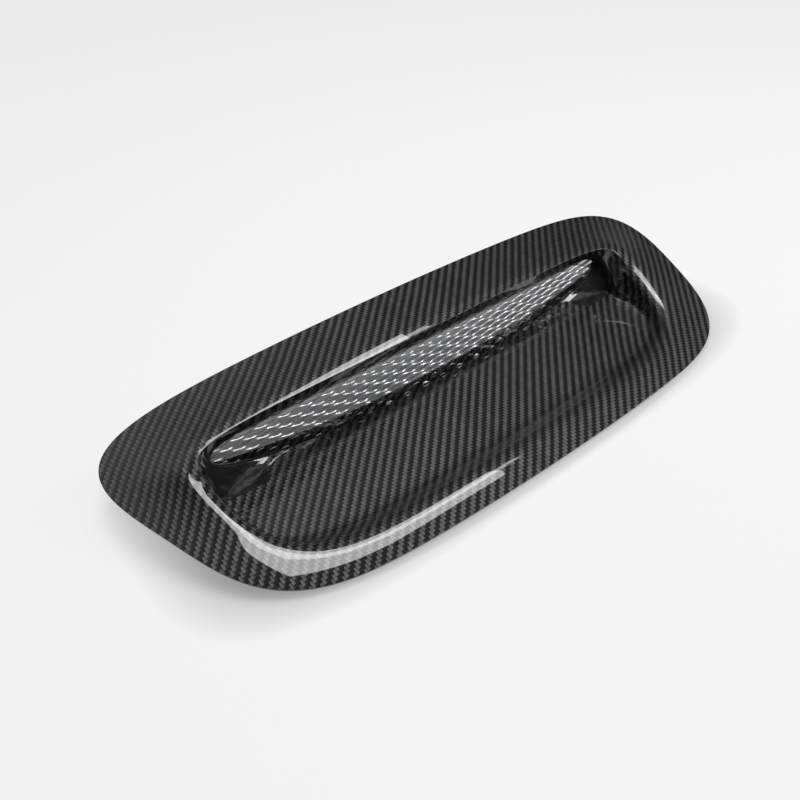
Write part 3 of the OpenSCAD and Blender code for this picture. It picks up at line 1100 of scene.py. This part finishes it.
@dataclass
class ExpandedSheet:
    """The grille: slit and drawn sheet whose strands are turned edge-on."""

    sizes: ScoopSizes = field(default_factory=ScoopSizes)
    long_pitch: float = 16.88
    short_pitch: float = 7.95
    shift_along: float = 0.38
    shift_up: float = -3.09
    strand_width: float = 2.05
    strand_thick: float = 1.05
    strand_round: float = 0.18
    set_back: float = 43.0479
    lean: float = 8.16241
    end_lap: float = 4.0
    row_lap: float = 1.0
    turn: float = -0.95
    sway: float = 0.35
    bond: float = 0.13
    rows_down: int = 8
    rows_up: int = 4
    steps: int = 7

    def build(self, groups: Groups) -> Piece:
        """Makes the sheet and dresses it.

        Args:
            groups: The shared shader groups.

        Returns:
            The grille.
        """
        s = self.sizes
        half_long, half_short = self.long_pitch / 2, self.short_pitch / 2
        columns = math.ceil((s.slot_half + s.slot_offset + self.end_lap) / half_long) + 1
        shaper = Shaper("grille_sheet", {
            "Half Long Pitch": half_long, "Half Short Pitch": half_short,
            "Shift Along": self.shift_along, "Shift Up": self.shift_up,
            "Strand Width": self.strand_width, "Strand Thickness": self.strand_thick,
            "Strand Turn": self.turn, "Bond": self.bond,
            "Slot Half Length": s.slot_half + self.end_lap, "Slot Offset": s.slot_offset,
            "Slot Above": s.slot_above + self.row_lap, "Slot Below": s.slot_below + self.row_lap,
            "Sweep": s.slot_sweep, "Droop": s.slot_droop, "Lean": math.radians(self.lean),
        }, BRIGHT_SHEET.make(groups))
        tree, given = shaper.tree, shaper.given
        line = tree.out("GeometryNodeMeshLine", {
            "Count": 2 * columns * self.steps + 1, "Start Location": (-columns * half_long, 0.0, 0.0),
            "Offset": (half_long / self.steps, 0.0, 0.0)}, mode="OFFSET")
        rows = tree.out("GeometryNodeMeshLine", {
            "Count": self.rows_down + self.rows_up, "Start Location": (0.0, 0.0, -self.rows_down),
            "Offset": (0.0, 0.0, 1.0)}, mode="OFFSET")
        copies = tree.out("GeometryNodeInstanceOnPoints", {"Points": rows, "Instance": line})
        real = tree.out("GeometryNodeRealizeInstances", {0: copies})
        x, _, row = tree.parts(tree.out("GeometryNodeInputPosition"))
        row = row.math("ROUND")
        spare = 1.0 - self.within(shaper, x, row)
        kept = tree.out("GeometryNodeDeleteGeometry", {"Geometry": real, "Selection": spare})
        strands = tree.out("GeometryNodeMeshToCurve", {"Mesh": kept})
        place, twist = self.bent(shaper, x, row)
        marked = tree.out("GeometryNodeStoreNamedAttribute", {
            "Geometry": strands, "Name": "turn", "Value": twist}, data_type="FLOAT", domain="POINT")
        moved = tree.out("GeometryNodeSetPosition", {"Geometry": marked, "Position": place})
        upright = tree.out("GeometryNodeSetCurveNormal", {"Curve": moved}, mode="Z_UP")
        stored = tree.out("GeometryNodeInputNamedAttribute", {"Name": "turn"}, data_type="FLOAT")
        turned = tree.out("GeometryNodeSetCurveTilt", {"Curve": upright, "Tilt": stored})
        section = tree.out("GeometryNodeCurvePrimitiveQuadrilateral", {
            "Width": given("Strand Thickness") * MM, "Height": given("Strand Width") * MM})
        rounded = tree.out("GeometryNodeFilletCurve", {"Curve": section, "Radius": self.strand_round * MM})
        solid = tree.out("GeometryNodeCurveToMesh", {
            "Curve": turned, "Profile Curve": rounded, "Fill Caps": True})
        seed = make_mesh("grille_sheet", np.zeros((1, 3)), [])
        return carried(shaper.finish(solid, seed), Slot.SHEET, "mesh_grille")

    def within(self, shaper: Shaper, x: Field, row: Field) -> Field:
        """Keeps the strands that the slot and its lap need.

        Args:
            shaper: The grille's tree.
            x: Place along a strand.
            row: The strand's half row.

        Returns:
            1 where a strand is kept.
        """
        given, slack = shaper.given, 0.001
        pitch = given("Half Long Pitch")
        column = (abs(x) / pitch - slack).math("CEIL") * x.math("SIGN")
        middle = column * pitch + given("Shift Along") + given("Slot Offset")
        reach = (abs(middle) - pitch).math("MAXIMUM", 0.0)
        low = row * given("Half Short Pitch") + given("Shift Up")
        top = low + given("Half Short Pitch")
        below = (low + top) < 0.0
        near = below.mixed(low, top * -1.0).math("MAXIMUM", 0.0)
        high = near / below.mixed(given("Slot Above"), given("Slot Below"))
        across = below.mixed(SLOT.across_rear, SLOT.across_front)
        along = below.mixed(SLOT.along_rear, SLOT.along_front)
        return ((reach / given("Slot Half Length")) ** across + high**along) < 1.0

    def bent(self, shaper: Shaper, x: Field, row: Field) -> tuple[Socket, Field]:
        """Bends the strands to and fro, and lays them on the curved sheet.

        Args:
            shaper: The grille's tree.
            x: Place along a strand.
            row: The strand's half row.

        Returns:
            Each point's place in metres, and the strand's turn there.
        """
        s, given, edge_share, stagger = self.sizes, shaper.given, 0.42, -1.5
        phase = (x / given("Half Long Pitch") + row).math("FLOORED_MODULO", 2.0)
        climb = 1.0 - abs(phase - 1.0)
        bond = given("Bond")
        eased = ((climb - bond) / (1.0 - bond * 2.0)).math("MAXIMUM", 0.0).math("MINIMUM", 1.0)
        half = given("Strand Width") * edge_share
        height = row * given("Half Short Pitch") + given("Shift Up") + half
        height = height + eased * (given("Half Short Pitch") - half * 2.0)
        depth = (eased - 0.5) * half * stagger
        sine, cosine = given("Lean").math("SINE"), given("Lean").math("COSINE")
        x = x + given("Shift Along")
        curve = (x / s.ref_x) ** 2.0
        y = curve * given("Sweep") + height * sine + depth * cosine
        z = height * cosine - depth * sine - curve * given("Droop")
        place = shaper.tree.vector((x + s.home[0]) * MM, (y + (self.set_back + s.home[1])) * MM,
                                   (z + (s.home[2] - s.slot_level)) * MM)
        rising = (phase < 1.0) * 2.0 - 1.0
        free = eased * (1.0 - eased) * 4.0
        return place, given("Strand Turn") + rising * free * self.sway


@dataclass
class GlueBead:
    """The bead of resin that beds the sheet behind the slot."""

    moulding: Moulding
    thick: float = 2.6
    lumps: float = 0.45
    lump_scale: float = 160.0
    seed: float = 4.0
    outset: float = 1.6
    set_back: float = 2.2

    def build(self, finish: Material) -> Piece:
        """Makes the bead and dresses it.

        Args:
            finish: The resin.

        Returns:
            The bead.
        """
        slot = self.moulding.slot() + np.array(self.moulding.sizes.home)
        outward = unit((slot - slot.mean(0)) * np.array([1.0, 0.0, 1.0]))
        path = slot + outward * self.outset + np.array([0.0, self.set_back, 0.0])
        count = len(path)
        base = make_mesh("glue_bead", path, [], [(k, (k + 1) % count) for k in range(count)])
        values = {"Thickness": self.thick, "Lumps": self.lumps, "Seed": self.seed}
        shaper = Shaper("glue_bead", values, finish)
        tree, given = shaper.tree, shaper.given
        line = tree.out("GeometryNodeMeshToCurve", {"Mesh": shaper.start.outputs["Geometry"]})
        noise = tree.out("ShaderNodeTexNoise", {
            "Scale": self.lump_scale, "Vector": tree.out("GeometryNodeInputPosition"), "W": given("Seed"),
        }, noise_dimensions="4D")
        swell = (tree.field(noise) - 0.5) * given("Lumps") * 2.0 + 1.0
        lumpy = tree.out("GeometryNodeSetCurveRadius", {"Curve": line, "Radius": swell})
        ring = tree.out("GeometryNodeCurvePrimitiveCircle", {
            "Resolution": 10, "Radius": given("Thickness") * (0.5 * MM)})
        solid = tree.out("GeometryNodeCurveToMesh", {"Curve": lumpy, "Profile Curve": ring})
        piece = shaper.finish(solid, base)
        piece.data.shade_smooth()
        return carried(piece, Slot.RESIN)


@dataclass
class BondingStrip:
    """The resin-soaked strip that covers the sheet's lower margin, with the cells showing through."""

    moulding: Moulding
    sheet: ExpandedSheet
    depth: float = 7.6
    tail: float = 1.5
    proud: float = 1.3
    thick: float = 1.0
    facet: float = 0.75
    end_trim: float = 0.06
    taper: float = 0.75
    margin: float = 0.15
    flat_to: float = -90.0
    flat_fade: float = 60.0
    rim_share: float = 0.35
    roughness: float = 0.45
    long_steps: int = 420
    cross_steps: int = 14

    def build(self, groups: Groups) -> Piece:
        """Makes the strip and dresses it.

        Args:
            groups: The shared shader groups.

        Returns:
            The strip.
        """
        s = self.moulding.sizes
        most = 0.5 * math.pi - self.end_trim
        angles = np.linspace(-most, most, self.long_steps)
        ux = np.sign(np.sin(angles)) * np.abs(np.sin(angles)) ** (2 / SLOT.across_front)
        uy = np.abs(np.cos(angles)) ** (2 / SLOT.along_front)
        share = np.linspace(0.0, 1.0, self.cross_steps)
        lift = self.depth * smooth(uy / self.taper) + self.tail
        w = (-s.slot_below * uy - self.tail)[:, None] + lift[:, None] * share[None]
        x = np.broadcast_to((s.slot_half * ux - s.slot_offset)[:, None], w.shape)
        broken = smooth((x - self.flat_to) / self.flat_fade)
        inside = smooth(np.minimum(share, 1 - share) / self.margin)
        front = -self.proud - self.relief(x, w) * inside * broken
        back = np.full_like(front, self.thick - self.proud)
        points = np.concatenate([self.on_sheet(x, w, front), self.on_sheet(x, w, back)[:, ::-1]], 1)
        steps = points.shape[1]
        faces = ring_faces(self.long_steps, steps)[:-steps].tolist()
        faces.append(list(range(steps))[::-1])
        faces.append([(self.long_steps - 1) * steps + k for k in range(steps)])
        piece = make_mesh("bonding_strip", points + np.array(s.home), faces)
        map_cloth(piece, points[..., [0, 2]] / CLOTH_REPEAT)
        # The strip takes the twill with its painted sheen: warp painted lighter than weft.
        piece.data.materials.append(replace(CLEAR_CARBON, roughness=self.roughness).make(groups))
        return carried(piece, Slot.LAMINATE)

    def relief(self, x: Array, w: Array) -> Array:
        """Height of the resin where the sheet's cells show through.

        Args:
            x: Places along the sheet.
            w: Places up the sheet.

        Returns:
            The heights.
        """
        a = (x - self.sheet.shift_along) / (self.sheet.long_pitch / 2)
        b = (w - self.sheet.shift_up) / (self.sheet.short_pitch / 2)
        up, down = (a + b) / 2, (a - b) / 2
        fu, fd = up - np.floor(up) - 0.5, down - np.floor(down) - 0.5
        up_mix, down_mix, spread = 12.9898, 78.233, 43758.5453
        chance = np.sin(np.floor(up) * up_mix + np.floor(down) * down_mix) * spread
        way = (chance - np.floor(chance)) * 2 * math.pi
        lean = np.sin(way) * fu + np.cos(way) * fd
        return self.facet * (lean + self.rim_share * (0.5 - np.maximum(np.abs(fu), np.abs(fd))))

    def on_sheet(self, x: Array, w: Array, depth: Array) -> Array:
        """Places points by the sheet's curve."""
        return self.moulding.sizes.leaning(x, w, self.sheet.set_back, self.sheet.lean, depth)


@dataclass
class Fixing:
    """One stud with its thread, in its boss."""

    name: str
    place: Triple
    length: float = 9.0
    thread_pitch: float = 0.8
    thread_start: float = 0.45
    crest: float = 2.5
    root: float = 2.1
    chamfer: float = 0.7
    neck: float = 3.25
    neck_height: float = 1.7
    plate: float = 6.0
    plate_thick: float = 1.5
    plate_round: float = 0.2
    around: int = 32

    def core(self) -> Piece:
        """Turns the stud's core: tip, shank, neck and plate.

        Returns:
            The core.
        """
        under, over, soft = self.neck_height, self.neck_height + self.plate_thick, self.plate_round
        profile = [(self.root - self.chamfer, -self.length), (self.root, self.chamfer - self.length),
                   (self.root, -0.25), (self.neck - 0.3, -0.05), (self.neck, 0.15), (self.neck, under),
                   (self.plate - soft, under), (self.plate, under + soft), (self.plate, over - soft),
                   (self.plate - soft, over)]
        n = self.around
        angles = np.arange(n) * 2 * math.pi / n
        points = [[r * math.cos(a), r * math.sin(a), z] for r, z in profile for a in angles]
        points += [[0.0, 0.0, -self.length], [0.0, 0.0, over]]
        low, high, top = len(points) - 2, len(points) - 1, (len(profile) - 1) * n
        turns = [(k, (k + 1) % n) for k in range(n)]
        faces = [(level * n + a, level * n + b, level * n + b + n, level * n + a + n)
                 for level in range(len(profile) - 1) for a, b in turns]
        for a, b in turns:
            faces += [(low, b, a), (high, top + a, top + b)]
        return make_mesh(self.name, np.array(points) + np.array(self.place), faces)

    def build(self, node: str, finish: Material) -> Piece:
        """Makes the stud and dresses it.

        Args:
            node: The CAD node that it stands for.
            finish: The plated steel.

        Returns:
            The stud.
        """
        base = self.core()
        turns = (self.length - 2 * self.thread_start) / self.thread_pitch
        shaper = Shaper(f"{self.name}_thread", {
            "Pitch": self.thread_pitch, "Turns": turns, "Root": self.root, "Crest": self.crest}, finish)
        tree, given = shaper.tree, shaper.given
        helix = tree.out("GeometryNodeCurveSpiral", {
            "Resolution": 24, "Rotations": given("Turns"), "Start Radius": given("Root") * MM,
            "End Radius": given("Root") * MM, "Height": given("Turns") * given("Pitch") * MM})
        x, y, z = self.place
        foot = (x * MM, y * MM, (z + self.thread_start - self.length) * MM)
        placed = tree.out("GeometryNodeTransform", {"Geometry": helix, "Translation": foot})
        upright = tree.out("GeometryNodeSetCurveNormal", {"Curve": placed}, mode="Z_UP")
        flank = given("Pitch") * (0.4 * MM)
        ridge = tree.out("GeometryNodeCurvePrimitiveQuadrilateral", {
            "Width": (given("Crest") - given("Root")) * (2.0 * MM), "Bottom Height": flank,
            "Top Height": flank}, mode="KITE")
        solid = tree.out("GeometryNodeCurveToMesh", {
            "Curve": upright, "Profile Curve": ridge, "Fill Caps": True})
        both = tree.node("GeometryNodeJoinGeometry", {0: solid})
        tree.link(shaper.start.outputs["Geometry"], both.inputs[0])
        return carried(shaper.finish(both.outputs[0], base), Slot.STEEL, node)


@dataclass
class BossFillet:
    """The resin that squeezes out round a boss and climbs its side."""

    name: str
    place: tuple[float, float]
    radius: float = 8.5
    reach: float = 2.2
    climb: float = 2.0
    wobbles: tuple[Triple, ...] = ((0.18, 3.0, 0.7), (0.12, 7.0, 0.0))
    around: int = 64

    def build(self, moulding: Moulding, finish: Material) -> Piece:
        """Makes the fillet and dresses it.

        Args:
            moulding: The moulding that the boss sits under.
            finish: The resin.

        Returns:
            The fillet.
        """
        points, _, looks = moulding.section_loop()
        back = points[:, looks == Look.BACK].reshape(-1, 3)
        offset = back[:, :2] - np.array(self.place)
        near = np.linalg.norm(offset, axis=1) < 2 * self.radius
        fit, *_ = np.linalg.lstsq(self.terms(*offset[near].T), back[near, 2], rcond=None)
        rows = []
        for a in 2 * math.pi * np.arange(self.around) / self.around:
            wobble = 1.0 + sum(size * math.sin(n * a + start) for size, n, start in self.wobbles)
            profile = ((0.05, self.climb * wobble), (0.35 * self.reach, 0.75), (self.reach * wobble, -0.1),
                       (-0.6, -0.15), (-0.6, self.climb * 0.6))
            out, drop = np.array(profile).T
            x, y = (self.radius + out) * math.cos(a), (self.radius + out) * math.sin(a)
            rows.append(np.stack([self.place[0] + x, self.place[1] + y, self.terms(x, y) @ fit - drop], 1))
        piece = make_mesh(self.name, np.array(rows), ring_faces(self.around, len(profile)))
        piece.data.materials.append(finish)
        return carried(piece, Slot.RESIN)

    @staticmethod
    def terms(x: Array, y: Array) -> Array:
        """Terms of the curved surface that is fitted to the moulding's back."""
        return np.stack([np.ones_like(x), x, y, x * x, x * y, y * y], 1)


# --------------------------------------------------------------------------------------------
# Studio


def quaternion(side: Array, up: Array, back: Array) -> tuple[float, float, float, float]:
    """Reads a turn as a quaternion.

    Args:
        side: Where the turn takes the first axis.
        up: Where it takes the second.
        back: Where it takes the third.

    Returns:
        The quaternion, real part first.
    """
    size = [math.sqrt(max(0.0, 1 + a * side[0] + b * up[1] + c * back[2])) / 2
            for a, b, c in ((1, 1, 1), (1, -1, -1), (-1, 1, -1), (-1, -1, 1))]
    return (size[0], math.copysign(size[1], up[2] - back[1]), math.copysign(size[2], back[0] - side[2]),
            math.copysign(size[3], side[1] - up[0]))


def aimed(name: str, data: bpy.types.ID, place: Triple, axes: tuple[Array, Array, Array]) -> Piece:
    """Places a lamp or a camera.

    Args:
        name: Its name.
        data: Its data.
        place: Its place.
        axes: Its side, its up and its back.

    Returns:
        The object.
    """
    thing = bpy.data.objects.new(name, data)
    thing.location = place
    thing.rotation_mode = "QUATERNION"
    thing.rotation_quaternion = quaternion(*axes)
    bpy.context.scene.collection.objects.link(thing)
    return thing


@dataclass(frozen=True)
class SoftBox:
    """A flat lamp, aimed at the scoop."""

    name: str
    place: Triple
    size: tuple[float, float]
    level: float
    along: Triple
    aim: Triple = (0.0, 0.0, 0.02)

    def build(self) -> Piece:
        """Makes the lamp.

        Returns:
            The lamp.
        """
        data = bpy.data.lights.new(self.name, "AREA")
        data.shape = "RECTANGLE"
        data.size, data.size_y = self.size
        data.energy = self.level * math.pi * self.size[0] * self.size[1]
        back = unit(np.array(self.place) - np.array(self.aim))
        side = np.array(self.along)
        side = unit(side - back * (side @ back))
        return aimed(self.name, data, self.place, (side, np.cross(back, side), back))


LAMPS = (
    SoftBox("overhead_box", (0.225, 0.335, 1.3), (0.81, 0.59), 5.6, (1.0, 0.0, 0.0)),
    SoftBox("hot_strip", (0.31, 0.35, 1.25), (0.78, 0.17), 4.0, (0.97, 0.2, 0.0)),
    SoftBox("front_strip", (0.485, -0.38, 0.835), (1.2, 0.16), 9.0, (1.07, 0.28, -0.49)),
)


@dataclass
class Studio:
    """The pale floor, the lamps, the surroundings and the camera."""

    azimuth: float = -38.56
    elevation: float = 39.67
    distance: float = 550.59
    focal: float = 801.0
    centre_v: float = 359.65
    target: Triple = (-42.15, 28.529, 42.919)
    frame: float = 800.0
    sensor: float = 36.0
    background: float = 0.896
    floor_slope: float = -0.106
    floor_level: float = 3.6
    floor_reach: float = 4000.0
    floor_glow: float = 0.8
    shade_glow: float = 0.05
    shade_tint: float = 0.42
    floor_tint: float = 0.12
    shade_half: tuple[float, float] = (0.215, 0.1)
    shade_set: float = 0.02
    shade_scale: float = 0.1
    shade_steps: Stops = ((0.05, 0.0), (0.2, 1.0))
    mirror_steps: Stops = ((0.4, 1.0), (0.9, 0.1))
    wall_way: Triple = (-0.2, 0.62, 0.759)
    room_steps: Stops = ((0.0, 0.12), (0.5, 0.12), (0.6, 0.03), (1.0, 0.03))
    wall_steps: Stops = ((0.74, 0.0), (0.87, 0.1), (1.0, 0.42))

    def camera(self) -> Piece:
        """Puts the camera where the photograph was taken from.

        Returns:
            The camera.
        """
        a, e = math.radians(self.azimuth), math.radians(self.elevation)
        back = np.array([math.sin(a) * math.cos(e), -math.cos(a) * math.cos(e), math.sin(e)])
        right = np.array([math.cos(a), math.sin(a), 0.0])
        data = bpy.data.cameras.new("camera")
        data.sensor_width = self.sensor
        data.lens = self.focal * self.sensor / self.frame
        data.shift_y = (self.centre_v - self.frame / 2) / self.frame
        data.clip_start = 0.01
        place = (np.array(self.target) + back * self.distance) * MM
        camera = aimed("camera", data, place, (right, np.cross(back, right), back))
        bpy.context.scene.camera = camera
        return camera

    def floor(self) -> Piece:
        """Lays the pale floor, which is dim to mirrors far off, with a painted shade under the scoop where
        its glow is cut.

        Returns:
            The floor.
        """
        reach = self.floor_reach
        corners = [(x, y, self.floor_level + y * self.floor_slope)
                   for x, y in ((-reach, -reach), (reach, -reach), (reach, reach), (-reach, reach))]
        floor = make_mesh("studio_floor", np.array(corners), [(0, 1, 2, 3)])
        material = bpy.data.materials.new("pale_floor")
        material.use_nodes = True
        tree = Tree(material.node_tree)
        surface = material.node_tree.nodes["Principled BSDF"]
        surface.inputs["Roughness"].default_value = 0.9
        surface.inputs["Specular IOR Level"].default_value = 0.1
        surface.inputs["Emission Color"].default_value = (1.0, 1.0, 1.0, 1.0)
        path = tree.node("ShaderNodeLightPath").outputs
        x, y, _ = tree.parts(tree.node("ShaderNodeTexCoord").outputs["Object"])
        near = tree.ramp((x * x + y * y) ** 0.5, self.mirror_steps)
        mirrored = tree.field(path["Is Glossy Ray"]).math("MAXIMUM", tree.field(path["Is Transmission Ray"]))
        seen = tree.field(path["Is Camera Ray"]).math("MAXIMUM", mirrored * near)
        half_x, half_y = self.shade_half
        # Painted shade: under the scoop the floor's glow is cut to shade_glow and its tint is paler, so the
        # floor behind the grille reads as shaded grey.
        out = abs(x / half_x) ** 4.0 + abs((y - self.shade_set) / half_y) ** 4.0
        clear = tree.ramp(out * self.shade_scale, self.shade_steps)
        glow = seen * clear.mixed(self.shade_glow, self.floor_glow)
        tree.link(glow, surface.inputs["Emission Strength"])
        tint = tree.tint(clear, (self.shade_tint,) * 3, (self.floor_tint,) * 3)
        tree.link(tint, surface.inputs["Base Color"])
        floor.data.materials.append(material)
        return floor

    def surroundings(self) -> None:
        """Sets the room's light: dim above, pale where the camera looks straight at it."""
        world = bpy.data.worlds.new("studio_room")
        world.use_nodes = True
        tree = Tree(world.node_tree)
        room = world.node_tree.nodes["Background"]
        x, y, height = tree.parts(tree.node("ShaderNodeTexCoord").outputs["Generated"])
        glow = tree.ramp(height * 0.5 + 0.5, self.room_steps)
        wall = x * self.wall_way[0] + y * self.wall_way[1] + height * self.wall_way[2]
        glow = glow + tree.ramp(wall, self.wall_steps)
        tree.link(tree.vector(glow, glow, glow), room.inputs["Color"])
        pale = tree.out("ShaderNodeBackground", {"Color": (*(self.background,) * 3, 1.0)})
        looking = tree.node("ShaderNodeLightPath").outputs["Is Camera Ray"]
        mix = tree.out("ShaderNodeMixShader", {0: looking, 1: room.outputs[0], 2: pale})
        tree.link(mix, world.node_tree.nodes["World Output"].inputs["Surface"])
        bpy.context.scene.world = world

    def build(self) -> None:
        """Makes the whole studio."""
        self.camera()
        self.floor()
        self.surroundings()
        for lamp in LAMPS:
            lamp.build()
        bpy.context.scene.view_settings.view_transform = "Standard"


@dataclass
class BonnetScoop:
    """The whole scoop: moulding, grille, glue, bosses and studs."""

    moulding: Moulding = field(default_factory=Moulding)
    stud_x: float = 213.5
    stud_rows: dict[str, tuple[float, float]] = field(
        default_factory=lambda: {"front": (-12.96104, 16.5293), "rear": (57.03896, 29.8706)})

    def build(self, nodes: dict[str, Piece]) -> None:
        """Builds the pieces in order.

        Args:
            nodes: The CAD nodes by name.
        """
        groups = Groups()
        resin, steel = CAST_RESIN.make(groups), PLATED_STEEL.make(groups)
        self.moulding.build(groups)
        sheet = ExpandedSheet(self.moulding.sizes)
        sheet.build(groups)
        BondingStrip(self.moulding, sheet).build(groups)
        GlueBead(self.moulding).build(resin)
        for row, (y, z) in self.stud_rows.items():
            for side, x in (("left", -self.stud_x), ("right", self.stud_x)):
                name = f"{row}_{side}"
                boss = nodes[f"boss_{name}"]
                boss.data.materials.clear()
                boss.data.materials.append(resin)
                BossFillet(f"fillet_{name}", (x, y)).build(self.moulding, resin)
                Fixing(f"threaded_stud_{name}", (x, y, z)).build(f"stud_{name}", steel)


def main() -> None:
    """Dresses the scoop and its studio."""
    logging.basicConfig(level=logging.INFO, format="%(name)s: %(message)s")
    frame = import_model()
    BonnetScoop().build(frame["nodes"])
    Studio().build()


if __name__ == "__main__":
    main()
